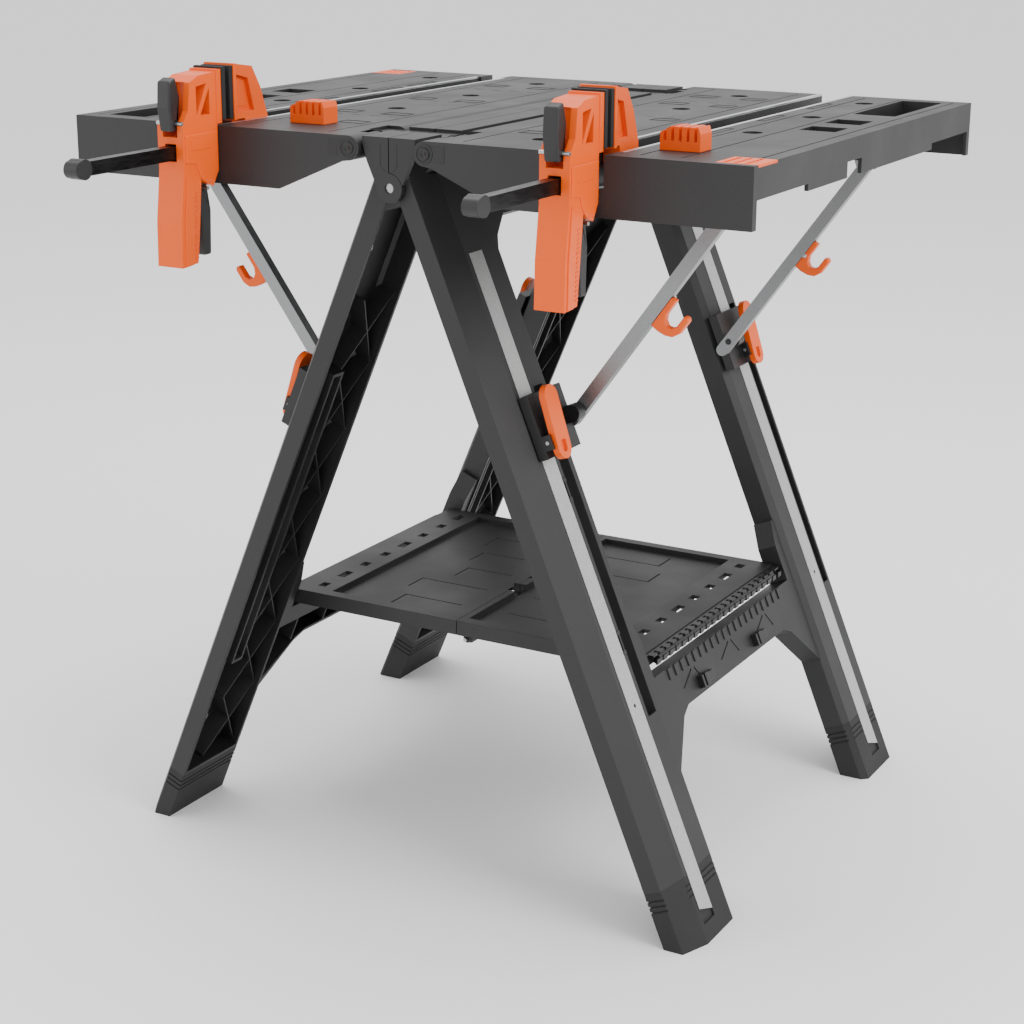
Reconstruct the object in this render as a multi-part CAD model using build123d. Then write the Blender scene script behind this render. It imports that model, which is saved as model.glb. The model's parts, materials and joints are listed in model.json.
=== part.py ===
"""Folding sawhorse and work table: two hinged leg frames, two drop-leaf tops, a
folding shelf, four stays on sliders, two bar clamps and two bench dogs.

Millimetres. +Z up, +X to the right along the front edge, +Y from front to back.
The origin is on the floor, under the centre of the top.

The right-hand parts are modelled once. Each left-hand part is the same shape
turned half a turn about +Z, as on the real table.
"""
from build123d import *
from math import atan, atan2, cos, degrees, hypot, pi, radians, sin
import os

# ---------------------------------------------------------------- driving sizes
HEIGHT = 813.0            # floor to work surface
HALF_LENGTH = 393.5       # top, along X
HALF_DEPTH = 317.5        # top, along Y
SKIN = 5.5                # moulded skin of the top
WALL = 4.0                # skirts of the top
POST_BOTTOM = 753.5       # lowest line of the front and back skirts
END_BOTTOM = 774.0        # end skirt between the legs
LEG_GAP_BOTTOM = 781.0    # end skirt where a folded top straddles a leg

HINGE_X, HINGE_Z = 44.5, 800.5    # hinge line of a drop-leaf top
BARREL_R = 12.5
PIVOT_Z = 762.7           # scissor pivot of the two leg frames, at X = 0
HEAD_HALF = 31.0          # head block, along X
HEAD_FRONT = 312.0        # head block, along Y

LEG_SLOPE = 0.4185        # run over rise of a leg
FOOT_X = 321.0            # inner face of a leg on the floor
LEG_T = 32.0              # leg, square to its inner face
LEG_IN, LEG_OUT = 202.0, 305.0    # a leg's two sides, along Y
LEG_WALL = 4.0

STAY_Y0, STAY_Y1 = 186.5, 198.0   # a stay lies just inside its leg
STAY_R = 7.0
STAY_TOP_X, STAY_TOP_Z = 322.0, 758.0   # stay pin under the top

SLOT_X = 228.0            # clamp slot in the top
SLOT_HALF = 17.0
RAIL_W = 5.0
CLAMP_X = 221.0           # a clamp sits against the inner side of its slot
DOG_X = (136.0, 291.0)
DOG_Y = (-243.0, -81.0, 81.0, 243.0)
DOG_HOLE_R = 10.5

SHELF_Z0, SHELF_Z1 = 248.0, 265.0
SHELF_END_X = 228.0
SHELF_Y = 183.0
SHELF_PIN_X, SHELF_PIN_Z = 234.0, 256.0
SHELF_MID_Z = 236.0       # centre fold, under the shelf

GAP = 0.5                 # clearance between moving parts
PIN_PLAY = 0.08           # radial play of a pin that turns in its bore

# ---------------------------------------------------------------- derived sizes
TILT = degrees(atan(LEG_SLOPE))
COS_T, SIN_T = cos(radians(TILT)), sin(radians(TILT))
LEG_FRAME = Location((FOOT_X, 0, 0), (0, -TILT, 0))


def leg_coords(x, z):
    """Depth from a right leg's inner face, and distance up the leg, of a point."""
    dx = x - FOOT_X
    return dx * COS_T + z * SIN_T, -dx * SIN_T + z * COS_T


PIVOT_D, PIVOT_S = leg_coords(0, PIVOT_Z)
HINGE_D, HINGE_S = leg_coords(HINGE_X, HINGE_Z)
LINK_X, LINK_Z = STAY_TOP_X - HINGE_X, STAY_TOP_Z - HINGE_Z
STAY_LENGTH = hypot(LINK_X, LINK_Z)
SLIDE_AT_REST = 2 * (LINK_X * SIN_T - LINK_Z * COS_T)
PIN_S = HINGE_S - SLIDE_AT_REST          # slider pin, up the leg
PIN_X = HINGE_X + SLIDE_AT_REST * SIN_T
PIN_Z = HINGE_Z - SLIDE_AT_REST * COS_T
STAY_ANGLE = degrees(atan2(STAY_TOP_Z - PIN_Z, STAY_TOP_X - PIN_X))

# strip, slot and slider bands on a leg, along Y: front leg, then back leg
BANDS = {
    -1: dict(strip=(-264.0, -239.0), slot=(-232.0, -214.0)),
    1: dict(strip=(239.0, 264.0), slot=(267.0, 281.0)),
}
STRIP_S = (14.0, 742.0)
STRIP_T = 2.0
SLOT_S = (227.0, 592.0)
FOOT_S = 62.0
CLIP_S = (311.0, 480.0)
LATCH_D = 48.5            # turning axis of a release lever, out from the inner face


# ---------------------------------------------------------------- small helpers
def block(x0, x1, y0, y1, z0, z1):
    """Box between two corners."""
    centre = ((x0 + x1) / 2, (y0 + y1) / 2, (z0 + z1) / 2)
    return Pos(*centre) * Box(x1 - x0, y1 - y0, z1 - z0)


def prism_y(points, y0, y1):
    """Outline in X and Z, carried from y0 to y1."""
    wire = Polyline(*[(x, y0, z) for x, z in points], close=True)
    return extrude(make_face(wire), amount=y1 - y0, dir=(0, 1, 0))


def prism_x(points, x0, x1):
    """Outline in Y and Z, carried from x0 to x1."""
    wire = Polyline(*[(x0, y, z) for y, z in points], close=True)
    return extrude(make_face(wire), amount=x1 - x0, dir=(1, 0, 0))


def prism_z(points, z0, z1):
    """Outline in X and Y, carried from z0 to z1."""
    wire = Polyline(*[(x, y, z0) for x, y in points], close=True)
    return extrude(make_face(wire), amount=z1 - z0, dir=(0, 0, 1))


def rod_y(x, z, radius, y0, y1):
    """Round bar along Y."""
    return Pos(x, (y0 + y1) / 2, z) * Rot(90, 0, 0) * Cylinder(radius, y1 - y0)


def rod_x(y, z, radius, x0, x1):
    """Round bar along X."""
    return Pos((x0 + x1) / 2, y, z) * Rot(0, 90, 0) * Cylinder(radius, x1 - x0)


def rod_z(x, y, radius, z0, z1):
    """Round bar along Z."""
    return Pos(x, y, (z0 + z1) / 2) * Cylinder(radius, z1 - z0)


def stadium_y(x, z, length, radius, angle, y0, y1):
    """Round-ended bar in the X-Z plane, starting at (x, z) and rising at angle."""
    body = block(0, length, y0, y1, -radius, radius)
    body += rod_y(0, 0, radius, y0, y1) + rod_y(length, 0, radius, y0, y1)
    return Pos(x, 0, z) * Rot(0, -angle, 0) * body


def half_turn(shape):
    """The same part on the other side."""
    return Rot(0, 0, 180) * shape


def group(shapes):
    """Separate solids in one node."""
    solids = []
    for shape in shapes:
        solids += shape.solids()
    return Compound(children=solids)


def save(name, shape):
    """Write one node."""
    export_step(shape, "parts/" + name + ".step")


def save_pair(name, shape):
    """Write a right-hand node and its left-hand twin."""
    save("right_" + name, shape)
    save("left_" + name, half_turn(shape))


# ---------------------------------------------------------------- leg frames
def leg_section(side):
    """Outline of a leg across its length: depth and Y, with its chamfers."""
    if side < 0:
        return [(0, -305), (20, -305), (LEG_T, -271), (LEG_T, -206), (28, -202), (0, -202)]
    return [(0, 202), (25, 202), (LEG_T, 209), (LEG_T, 285), (20, 305), (0, 305)]


def leg_pocket(side):
    """Hollow of a leg, open on the inner face."""
    if side < 0:
        return [(-1, -301), (18, -301), (28, -269), (28, -206), (-1, -206)]
    return [(-1, 206), (24, 206), (28, 210), (28, 283), (18, 301), (-1, 301)]


def leg_core(side):
    """Room for the ribs: the hollow and a little of the walls round it."""
    if side < 0:
        return [(6, -303), (18, -303), (28.5, -270), (28.5, -205), (6, -205)]
    return [(6, 205), (24, 205), (28.5, 210), (28.5, 284), (18, 303), (6, 303)]


def zigzag_ribs(y0, y1, s0, s1, pitch):
    """Crossed ribs between two lines, as in a moulded leg."""
    ribs = []
    half = 1.3
    count = int((s1 - s0) // pitch)
    for i in range(count):
        low, high = s0 + i * pitch, s0 + (i + 1) * pitch
        for a, b in ((low, high), (high, low)):
            outline = [(y0, a - half), (y1, b - half), (y1, b + half), (y0, a + half)]
            ribs.append(prism_x(outline, 5, 28.5))
    return ribs


def leg(side):
    """One hollow leg of the right frame, standing in leg coordinates."""
    shell = prism_z(leg_section(side), -20, 860)
    shell -= prism_z(leg_pocket(side), FOOT_S + 4, 800)
    slot0, slot1 = BANDS[side]["slot"]
    strip0, strip1 = BANDS[side]["strip"]
    for y0, y1 in ((slot0 - 3, slot0), (slot1, slot1 + 3)):
        shell += block(1, 28.5, y0, y1, SLOT_S[0] - 8, SLOT_S[1] + 8)
    for s0, s1 in ((SLOT_S[0] - 10, SLOT_S[0] - 6), (SLOT_S[1] + 6, SLOT_S[1] + 10)):
        shell += block(1, 28.5, slot0 - 3, slot1 + 3, s0, s1)
    shell -= block(-1, LEG_T + 1, slot0, slot1, SLOT_S[0], SLOT_S[1])
    shell -= block(LEG_T - STRIP_T, LEG_T + 1, strip0 - 0.2, strip1 + 0.2,
                   STRIP_S[0] - 8, STRIP_S[1])
    if side < 0:
        for s in CLIP_S:
            shell -= block(LEG_T - 1.5, LEG_T + 1, slot0 - 6.6, slot0 - 0.4, s - 13.2, s + 13.2)
    core = prism_z(leg_core(side), FOOT_S + 4, 800)
    start = -302 if side < 0 else 205
    for rib in zigzag_ribs(start, slot0 - 2, FOOT_S + 8, 770, 88):
        shell += rib & core
    return shell


def lower_panel(top_s):
    """Arched cross panel between the legs, set back from their outer faces."""
    outline = [(-LEG_IN - 1, 146), (-152, 200), (-135, 208), (135, 208), (152, 200),
               (LEG_IN + 1, 146), (LEG_IN + 1, 330), (196, 330), (186, 300),
               (SHELF_Y + 3, top_s), (-SHELF_Y - 3, top_s), (-186, 300), (-196, 330),
               (-LEG_IN - 1, 330)]
    panel = prism_x(outline, 2, 26)
    pocket = [(-LEG_IN, 158), (-150, 206), (-133, 212), (133, 212), (150, 206),
              (LEG_IN, 158), (LEG_IN, 236), (-LEG_IN, 236)]
    panel -= prism_x(pocket, 1, 22)
    for y in range(-160, 161, 64):
        panel += block(2, 22.5, y - 1.2, y + 1.2, 205, 240) & prism_x(outline, 1, 27)
    for y in (-100, 0, 100):
        for run in ([(y - 34, 227), (y - 33, 225), (y - 5, 238), (y - 6, 240)],
                    [(y + 2, 240), (y + 1, 238), (y + 12, 221), (y + 14, 222)]):
            panel -= prism_x(run, 25, 27)
    return panel


def top_beam():
    """Cross member under the head, with a small arch to each leg."""
    outline = [(-LEG_IN - 1, 728), (-190, 752), (-165, 772), (165, 772), (190, 752),
               (LEG_IN + 1, 728), (LEG_IN + 1, 800), (-LEG_IN - 1, 800)]
    return prism_x(outline, 1.5, 27)


def head_half():
    """Right half of the head block, over the scissor pivot."""
    outline = [(GAP, HEIGHT), (HEAD_HALF, HEIGHT), (HEAD_HALF, 806), (26, 789), (17, 769),
               (14, 764), (GAP, 764)]
    head = prism_y(outline, -HEAD_FRONT, HEAD_FRONT)
    head -= block(4, 27, -HEAD_FRONT + 6, HEAD_FRONT - 6, 775, HEIGHT - 7)
    for y in range(-250, 251, 100):
        head += block(3, 27, y - 2, y + 2, 776, HEIGHT - 6)
    return head


def frame_clearances(shape):
    """Room on the right frame for the left frame, the tops and their barrels."""
    for y in (-242, 242):
        shape -= block(-60, 60, y - 19, y + 19, HEIGHT - 3.5, HEIGHT + 1)
    for y0, y1 in HINGE_LUGS:
        shape += rod_y(HINGE_X, HINGE_Z, BARREL_R - 1, y0, y1)
        shape += block(18, HINGE_X, y0, y1, HINGE_Z - 7, HINGE_Z + 7)
    shape -= rod_y(0, PIVOT_Z, 15 + GAP, -320, -296)
    shape -= rod_y(0, PIVOT_Z, 15 + GAP, 279.5, 296)
    for y0, y1 in ((-295.5, -280), (296.5, HEAD_FRONT)):
        shape += rod_y(0, PIVOT_Z, 15, y0, y1)
    for y0, y1 in ((-330, -279), (279, 330)):
        shape -= rod_y(0, PIVOT_Z, 5 + PIN_PLAY, y0, y1)
        shape -= rod_y(HINGE_X, HINGE_Z, 6, y0 - 10 if y0 < 0 else 225, -225 if y0 < 0 else y1)
    return shape


HINGE_LUGS = ((-284, -262), (262, 284))


def leg_frame(blank, top_s):
    """Whole right leg frame with its half of the head."""
    frame = LEG_FRAME * (blank + lower_panel(top_s))
    frame -= block(-500, 500, -400, 400, -60, 0)
    frame -= block(-500, GAP, -400, 400, PIVOT_Z - 6, 1000)
    frame -= block(-500, 500, -400, 400, 792, 1000)
    frame -= block(26, 80, -400, 400, 776, 1000)
    frame += head_half()
    return frame_clearances(frame)


def split_feet(frame):
    """Parts the moulded frame from its four-sided foot shoes."""
    zone = LEG_FRAME * block(-40, 80, -400, 400, -80, FOOT_S)
    feet = frame & zone
    return frame - zone, feet


def ringed_feet(feet):
    """Three shallow grooves round each foot."""
    for i in range(3):
        s = FOOT_S - 9 - 6 * i
        for side in (-1, 1):
            ring = prism_z(leg_section(side), s - 1, s + 1)
            core = Pos(LEG_T / 2, side * 253.5, s) * Box(LEG_T - 2.4, 100.6, 4)
            feet -= LEG_FRAME * (ring - core)
    return feet


def steel_strips():
    """Bright strips let into the outer faces, with slanted ends."""
    strips = []
    for side in (-1, 1):
        y0, y1 = BANDS[side]["strip"]
        outline = [(y0, STRIP_S[0] + 9), (y1, STRIP_S[0]), (y1, STRIP_S[1] - 0.5),
                   (y0, STRIP_S[1] - 0.5)]
        strip = prism_x(outline, LEG_T - STRIP_T, LEG_T + 0.4)
        strip -= rod_x((y0 + y1) / 2, 246, 2.2, 0, 60)
        strips.append(LEG_FRAME * strip)
    return group(strips)


def retainer_clips():
    """Small I-shaped clips at the edge of each strip."""
    clips = []
    y = BANDS[-1]["slot"][0] - 3.5
    for s in CLIP_S:
        clip = block(LEG_T - 1.5, LEG_T + 0.8, y - 1, y + 1, s - 12, s + 12)
        for end in (-11, 11):
            clip += block(LEG_T - 1.5, LEG_T + 0.8, y - 3, y + 3, s + end - 2, s + end + 2)
        clips.append(LEG_FRAME * clip)
    return group(clips)


def panel_cleats():
    """Two cleats on the outer face of the cross panel."""
    cleats = []
    for y in (-88, 62):
        cleat = block(26, 33, y - 12, y + 4, 214, 228)
        cleat += block(26, 31, y + 4, y + 20, 216, 226)
        cleat -= block(29, 34, y - 8, y - 4, 212, 230)
        cleats.append(LEG_FRAME * cleat)
    return group(cleats)


# ---------------------------------------------------------------- drop-leaf tops
def top_skirts():
    """Front, back and end walls of the right top."""
    side_outline = [(HINGE_X, HEIGHT), (HALF_LENGTH, HEIGHT), (HALF_LENGTH, POST_BOTTOM),
                    (130, POST_BOTTOM), (52, 787), (HINGE_X, 788)]
    walls = prism_y(side_outline, -HALF_DEPTH, -HALF_DEPTH + WALL)
    walls += prism_y(side_outline, HALF_DEPTH - WALL, HALF_DEPTH)
    x0, x1 = HALF_LENGTH - WALL, HALF_LENGTH
    end = [(-HALF_DEPTH, HEIGHT), (HALF_DEPTH, HEIGHT), (HALF_DEPTH, POST_BOTTOM),
           (308, POST_BOTTOM), (308, LEG_GAP_BOTTOM), (183, LEG_GAP_BOTTOM),
           (183, END_BOTTOM), (-38, END_BOTTOM), (-38, 790), (-78, 790), (-78, END_BOTTOM),
           (-183, END_BOTTOM), (-183, LEG_GAP_BOTTOM), (-308, LEG_GAP_BOTTOM),
           (-308, POST_BOTTOM), (-HALF_DEPTH, POST_BOTTOM)]
    return walls + prism_x(end, x0, x1)


def top_ribs():
    """Stiffening grid under the skin, shallow enough to lie over a folded leg."""
    low = 786.0
    ribs = block(60, 62.5, -314, 314, low + 6, HEIGHT - 3)
    for x in (100, 172, 262, 322, 358):
        ribs += block(x, x + 2.5, -314, 314, low, HEIGHT - 3)
    for y in (-285, -190, -130, -30, 30, 130, 190, 285):
        ribs += block(58, SLOT_X - SLOT_HALF - 3, y - 1.2, y + 1.2, low, HEIGHT - 3)
        ribs += block(SLOT_X + SLOT_HALF + 3, 390, y - 1.2, y + 1.2, low, HEIGHT - 3)
    return ribs


def slot_channel():
    """Two walls that guide a clamp under the slot, with ties between the legs."""
    walls = []
    for x in (SLOT_X - SLOT_HALF - 4, SLOT_X + SLOT_HALF):
        walls.append(block(x, x + 4, -314, 314, LEG_GAP_BOTTOM + 2, HEIGHT - 1))
    for y in (-120, 20, 150):
        walls.append(block(SLOT_X - SLOT_HALF - 4, SLOT_X + SLOT_HALF + 4, y - 6, y + 6,
                           771, 779))
        for x in (SLOT_X - SLOT_HALF - 4, SLOT_X + SLOT_HALF):
            walls.append(block(x, x + 4, y - 6, y + 6, 771, 800))
    return walls


TRAYS = ((322, 362, -34, 4), (322, 362, 38, 78), (318, 366, 134, 296))


def top_trays():
    """Tubs let into the outer part of the top."""
    tubs = []
    for x0, x1, y0, y1 in TRAYS:
        tubs.append(block(x0 - 2.5, x1 + 2.5, y0 - 2.5, y1 + 2.5, 786, HEIGHT - 1))
    return tubs


def top_panel():
    """Right drop-leaf top: skin, skirts, ribs, slot, dog holes and trays."""
    top = block(HINGE_X, HALF_LENGTH, -HALF_DEPTH, HALF_DEPTH, HEIGHT - SKIN, HEIGHT)
    top += top_skirts() + top_ribs()
    for wall in slot_channel() + top_trays():
        top += wall
    for x in DOG_X:
        for y in DOG_Y:
            top += rod_z(x, y, DOG_HOLE_R + 3, 789, HEIGHT - 1)
    top += rod_y(HINGE_X, HINGE_Z, BARREL_R, -HALF_DEPTH, HALF_DEPTH)
    for x in DOG_X:
        for y in DOG_Y:
            top -= rod_z(x, y, DOG_HOLE_R, 780, HEIGHT + 1)
    for x0, x1, y0, y1 in TRAYS:
        top -= block(x0, x1, y0, y1, 788, HEIGHT + 1)
    top -= block(SLOT_X - SLOT_HALF, SLOT_X + SLOT_HALF, -288, 330, 781, HEIGHT + 1)
    top -= block(SLOT_X - 14, SLOT_X + 14, -330, -280, 781, HEIGHT + 1)
    for x in (SLOT_X - SLOT_HALF - RAIL_W, SLOT_X + SLOT_HALF):
        top -= block(x, x + RAIL_W, -288, 330, HEIGHT - 2, HEIGHT + 1)
    return top_openings(top)


def top_openings(top):
    """Hinge gaps, cradle notches, corner seat and surface grooves of the top."""
    for y0, y1 in HINGE_LUGS:
        top -= rod_y(HINGE_X, HINGE_Z, BARREL_R + 2, y0 - GAP, y1 + GAP)
        top -= block(0, HINGE_X + 14, y0 - GAP, y1 + GAP, 780, HINGE_Z + 4)
    for y in (-242, 242):
        top -= block(0, 57, y - 19, y + 19, HEIGHT - 3.5, HEIGHT + 1)
    for y0, y1 in ((-330, -225), (225, 330)):
        top -= rod_y(HINGE_X, HINGE_Z, 6 + PIN_PLAY, y0, y1)
    top -= rod_y(HINGE_X, HINGE_Z, 8.5, -200, 200)
    top -= block(350, 400, -308, -262, HEIGHT - 2.5, HEIGHT + 1)
    for x in (78, 186, 270, 312, 376):
        top -= block(x, x + 2, -300, 300, HEIGHT - 1, HEIGHT + 1)
    for y in (-150, -6, 156):
        for i in range(4):
            x = 86 + 24 * i
            top -= block(x, x + 12, y, y + 1.6, HEIGHT - 1, HEIGHT + 1)
    return top


def slot_rails():
    """Bright rails along both edges of the clamp slot."""
    rails = []
    for x in (SLOT_X - SLOT_HALF - RAIL_W, SLOT_X + SLOT_HALF):
        rails.append(block(x, x + RAIL_W, -287.5, HALF_DEPTH, HEIGHT - 2, HEIGHT))
    return group(rails)


def corner_insert():
    """Coloured corner wedge for holding round stock."""
    insert = block(350.5, HALF_LENGTH, -307.5, -262.5, HEIGHT - 2.5, HEIGHT)
    for i in range(3):
        insert -= block(356 + 11 * i, 360 + 11 * i, -304, -266, HEIGHT - 1.2, HEIGHT + 1)
    return insert


def hinge_pins():
    """Pins that carry a top, fixed in the head lugs."""
    return group([rod_y(HINGE_X, HINGE_Z, 6, -HALF_DEPTH, -226),
                  rod_y(HINGE_X, HINGE_Z, 6, 226, HALF_DEPTH)])


def pivot_pins():
    """Front and back pins of the scissor pivot."""
    return group([rod_y(0, PIVOT_Z, 5, -HEAD_FRONT + 2, -280),
                  rod_y(0, PIVOT_Z, 5, 280, HEAD_FRONT - 2)])


def stay_brackets():
    """Steel brackets under the top that hold the upper ends of the stays."""
    brackets = []
    for side in (-1, 1):
        y0, y1 = sorted((side * 174, side * 178))
        outline = [(STAY_TOP_X - 24, 785.5), (STAY_TOP_X + 24, 785.5),
                   (STAY_TOP_X + 11, STAY_TOP_Z - 9), (STAY_TOP_X - 11, STAY_TOP_Z - 9)]
        plate = prism_y(outline, y0, y1)
        f0, f1 = sorted((side * 160, side * 178))
        plate += block(STAY_TOP_X - 24, STAY_TOP_X + 24, f0, f1, 782.8, 785.8)
        pin_end = side * (STAY_Y1 + 1.5)
        p0, p1 = sorted((side * 178, pin_end))
        plate += rod_y(STAY_TOP_X, STAY_TOP_Z, 3.5, p0, p1)
        plate += rod_y(STAY_TOP_X, STAY_TOP_Z, 6, *sorted((side * 178, side * 185.5)))
        brackets.append(plate)
    return group(brackets)


# ---------------------------------------------------------------- stays and sliders
def stays():
    """Flattened steel tubes between the top and the sliders."""
    bars = []
    for side in (-1, 1):
        y0, y1 = sorted((side * STAY_Y0, side * STAY_Y1))
        dx, dz = -cos(radians(STAY_ANGLE)), -sin(radians(STAY_ANGLE))
        bar = stadium_y(PIN_X + 14 * dx, PIN_Z + 14 * dz, STAY_LENGTH + 14, STAY_R,
                        STAY_ANGLE, y0, y1)
        for x, z in ((PIN_X, PIN_Z), (STAY_TOP_X, STAY_TOP_Z)):
            bar -= rod_y(x, z, 3.5 + PIN_PLAY, y0 - 1, y1 + 1)
        bars.append(bar)
    return group(bars)


def stay_point(along, off):
    """Point at a distance up the stay from its slider pin, and off to its underside."""
    c, s = cos(radians(STAY_ANGLE)), sin(radians(STAY_ANGLE))
    return PIN_X + along * c + off * s, PIN_Z + along * s - off * c


def stay_hooks():
    """J-hooks clamped on the stays."""
    hooks = []
    for side in (-1, 1):
        y0, y1 = sorted((side * 187.5, side * 197))
        path = [(126, 7.2), (164, 7.2), (164, 13), (146, 13), (140, 16), (137, 21),
                (139, 26), (144, 29), (158, 29), (159, 33), (157, 36), (140, 36),
                (132, 32), (128, 25), (126, 16)]
        outline = [stay_point(a, o) for a, o in path]
        hooks.append(prism_y(outline, y0, y1))
    return group(hooks)


def sliders():
    """Blocks that run in the leg slots and carry the lower ends of the stays."""
    blocks = []
    for side in (-1, 1):
        slot0, slot1 = BANDS[side]["slot"]
        ear = sorted((side * (STAY_Y1 + 1.5), side * 214))
        lo, hi = min(ear[0], slot0), max(ear[1], slot1)
        strip0, strip1 = BANDS[side]["strip"]
        y = (strip0 + strip1) / 2
        lo, hi = min(lo, y - 18.5), max(hi, y + 18.5)
        body = block(LEG_T + 1.2, 44, lo, hi, PIN_S - 34, PIN_S + 34)
        body += block(8, 40, slot0 + GAP, slot1 - GAP, PIN_S - 30, PIN_S + 30)
        body += block(LEG_T + 1.2, HINGE_D, ear[0], ear[1], PIN_S - 9, PIN_S + 9)
        body += rod_y(HINGE_D, PIN_S, 9, ear[0], ear[1])
        pin = sorted((side * (STAY_Y0 - 1), side * (STAY_Y1 + 2)))
        body += rod_y(HINGE_D, PIN_S, 3.5, *pin)
        for dy in (-16.5, 16.5):
            lug = block(42, LATCH_D + 5, y + dy - 2, y + dy + 2, PIN_S - 26, PIN_S - 10)
            body += lug
        body -= rod_y(LATCH_D, PIN_S - 18, 2, y - 25, y + 25)
        blocks.append(LEG_FRAME * body)
    return blocks


def latch(side):
    """Release lever over a slider."""
    y = sum(BANDS[side]["strip"]) / 2
    lever = block(50, 57, y - 13, y + 13, PIN_S - 26, PIN_S + 26)
    lever += rod_x(y, PIN_S - 26, 13, 50, 57) + rod_x(y, PIN_S + 26, 13, 50, 57)
    lever -= rod_x(y, PIN_S - 27, 5, 53, 60)
    lever -= block(53, 60, y - 5, y + 5, PIN_S - 27, PIN_S - 19)
    lever += rod_y(LATCH_D, PIN_S - 18, 3.8, y - 13, y + 13)
    lever -= rod_y(LATCH_D, PIN_S - 18, 2 + PIN_PLAY, y - 25, y + 25)
    tilt = Pos(LATCH_D, 0, PIN_S - 18) * Rot(0, 5, 0) * Pos(-LATCH_D, 0, -(PIN_S - 18))
    return LEG_FRAME * (tilt * lever)


def latch_pins():
    """Steel pins the release levers turn on, fixed in the sliders."""
    pins = []
    for side in (-1, 1):
        y = sum(BANDS[side]["strip"]) / 2
        pins.append(LEG_FRAME * rod_y(LATCH_D, PIN_S - 18, 2, y - 18.5, y + 18.5))
    return group(pins)


# ---------------------------------------------------------------- shelf
def shelf_half():
    """Half of the shelf on the right side: a shallow tray with slots."""
    gap = 0.4
    shelf = block(gap, SHELF_END_X, -SHELF_Y, SHELF_Y, SHELF_Z0, SHELF_Z1)
    shelf -= block(8, 176, -SHELF_Y + 14, SHELF_Y - 14, SHELF_Z1 - 6, SHELF_Z1 + 1)
    shelf -= block(8, 176, -SHELF_Y + 4, SHELF_Y - 4, SHELF_Z0 - 1, SHELF_Z1 - 10)
    shelf -= block(180, 222, -SHELF_Y + 4, SHELF_Y - 4, SHELF_Z0 - 1, SHELF_Z1 - 4)
    for y in (-60, 60):
        shelf += block(6, 180, y - 1.2, y + 1.2, SHELF_Z0 + 2, SHELF_Z1 - 8)
    for i in range(8):
        y = -154 + 44 * i
        length = 14 if i % 3 else 22
        cut = block(192, 192 + 10, y - length / 2, y + length / 2, SHELF_Z0, SHELF_Z1 + 1)
        shelf -= cut
    for y in (-50, 0, 50):
        shelf -= block(-1, 11, y - 13, y + 13, SHELF_Z0 - 1, SHELF_Z1 + 1)
    for i in range(5):
        y = -120 + 60 * i
        shelf -= block(30, 120 - 14 * (i % 3), y, y + 1.6, SHELF_Z1 - 7, SHELF_Z1 - 5)
        shelf -= block(118 - 14 * (i % 3), 120 - 14 * (i % 3), y, y + 34, SHELF_Z1 - 7, SHELF_Z1 - 5)
    return shelf


def centre_knuckles(odd):
    """Knuckles of the centre fold under the shelf, every other one."""
    knuckles = []
    for i in range(8):
        if (i % 2 == 1) == odd:
            y0 = -160 + 40 * i + GAP
            y1 = y0 + 40 - 2 * GAP
            barrel = rod_y(0, SHELF_MID_Z, 5, y0, y1)
            barrel += block(0.4, 8, y0, y1, SHELF_MID_Z, SHELF_Z0 + 6)
            barrel += block(0, 6, y0, y1, SHELF_MID_Z - 4, SHELF_MID_Z + 3)
            knuckles.append(barrel)
    return knuckles


def end_knuckles(odd):
    """Knuckles of the shelf's end hinge on the right side."""
    knuckles = []
    for i in range(8):
        if (i % 2 == 1) == odd:
            y0 = -160 + 40 * i + GAP
            y1 = y0 + 40 - 2 * GAP
            knuckles.append((y0, y1))
    return knuckles


def shelf_left_half():
    """Left half of the shelf, hinged to the left frame."""
    shelf = shelf_half()
    for barrel in centre_knuckles(False):
        shelf += barrel
    for y0, y1 in end_knuckles(False):
        shelf += rod_y(SHELF_PIN_X, SHELF_PIN_Z, 5.4, y0, y1)
        shelf += block(SHELF_END_X - 4, SHELF_PIN_X, y0, y1, SHELF_PIN_Z - 5, SHELF_PIN_Z + 6)
    shelf -= rod_y(0, SHELF_MID_Z, 2 + PIN_PLAY, -200, 200)
    shelf -= rod_y(SHELF_PIN_X, SHELF_PIN_Z, 2.5 + PIN_PLAY, -200, 200)
    return half_turn(shelf)


def shelf_right_half():
    """Right half of the shelf; its outer end rests on the right cross panel."""
    shelf = shelf_half()
    for barrel in centre_knuckles(False):
        shelf += barrel
    shelf -= rod_y(0, SHELF_MID_Z, 2 + PIN_PLAY, -200, 200)
    return shelf


def shelf_end_leaf():
    """Hinge leaf on the outer end of the right half."""
    leaf = block(SHELF_END_X, SHELF_END_X + 4, -SHELF_Y, SHELF_Y, SHELF_Z1 - 13, SHELF_Z1 - 1)
    for y0, y1 in end_knuckles(False) + end_knuckles(True):
        leaf += rod_y(SHELF_PIN_X + 1.5, SHELF_PIN_Z + 1, 5.5, y0, y1)
    return leaf


def panel_knuckles():
    """Knuckles on the left cross panel for the shelf, as seen on the right side."""
    knuckles = []
    for y0, y1 in end_knuckles(True):
        barrel = rod_y(SHELF_PIN_X, SHELF_PIN_Z, 5.4, y0, y1)
        d, s = leg_coords(SHELF_PIN_X, SHELF_PIN_Z)
        stem = LEG_FRAME * block(d - 5, d + 6, y0, y1, s - 26, s)
        knuckles.append(barrel + stem)
    return knuckles


# ---------------------------------------------------------------- clamps
CLAMP_FACE = -HALF_DEPTH - 0.4


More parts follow.
